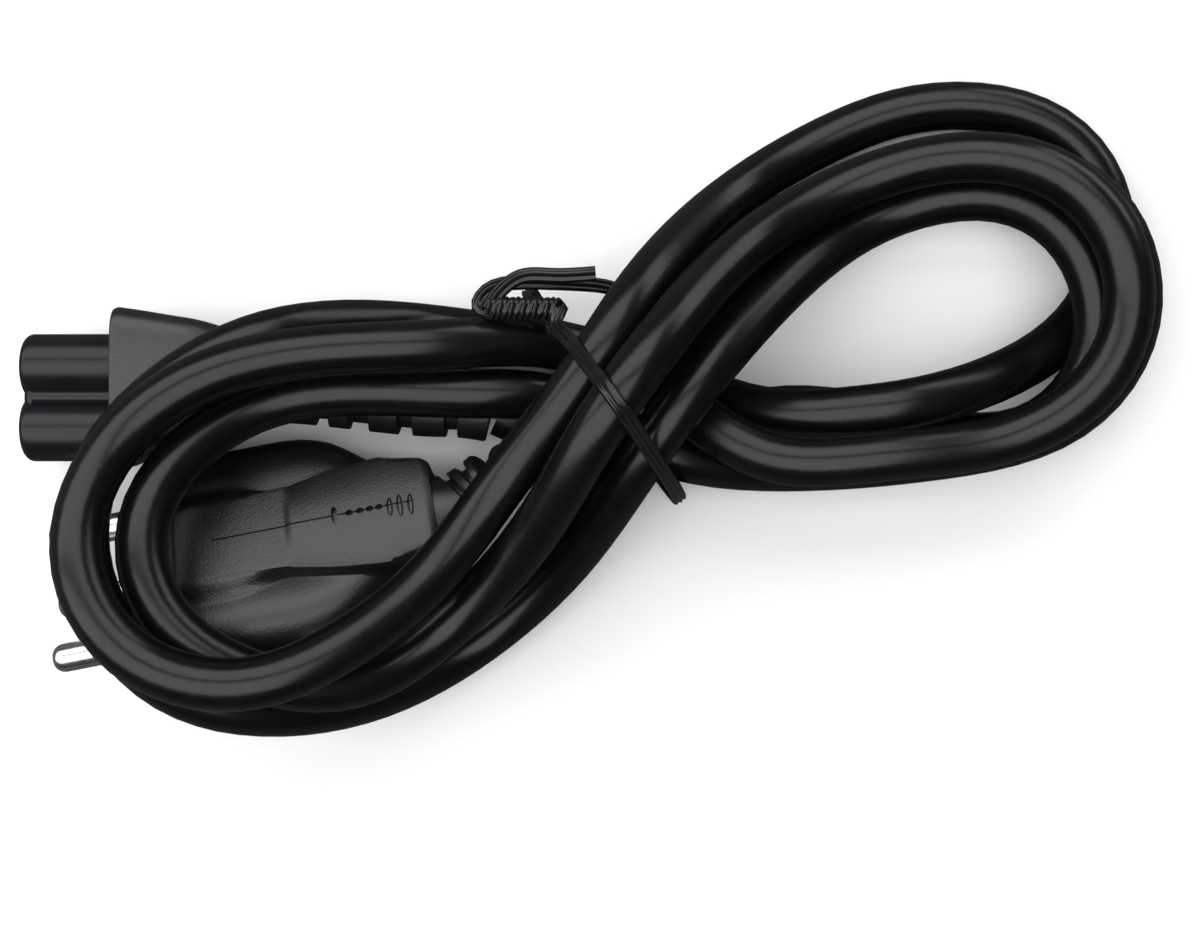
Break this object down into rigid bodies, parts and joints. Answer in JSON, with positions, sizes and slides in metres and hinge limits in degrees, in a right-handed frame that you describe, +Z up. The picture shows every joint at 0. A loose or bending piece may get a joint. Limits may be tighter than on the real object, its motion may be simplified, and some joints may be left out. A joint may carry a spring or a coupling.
{
  "type": "three-pin power cord",
  "caption": "Black mains lead bundled in a figure of eight with a twist tie, a moulded round-pin plug on one end and a cloverleaf appliance connector on the other.",
  "frame": {"origin": "middle of the whole bundle's footprint, on the surface that it lies on", "axes": "+X along the bundle away from the plug and the connector, +Y across it from the plug towards the connector's side, +Z up"},
  "size_m": [0.1621, 0.0936, 0.0394],
  "materials": {
    "cord_pvc": "smooth flexible PVC with a soft sheen",
    "moulded_pvc": "fine-grained moulded PVC",
    "hard_plastic": "smooth hard plastic",
    "nickel": "bright nickel plate on brass",
    "contact_brass": "plain sheet brass",
    "tie_pvc": "thin plastic over a wire"
  },
  "bodies": {
    "root": {"cord": "cord_pvc", "plug_body": "moulded_pvc", "pin_live": "nickel", "pin_neutral": "nickel", "pin_earth": "nickel", "connector_hood": "moulded_pvc", "connector_nose": "hard_plastic", "contact_live": "contact_brass", "contact_neutral": "contact_brass", "contact_earth": "contact_brass", "twist_tie": "tie_pvc"}
  },
  "joints": []
}
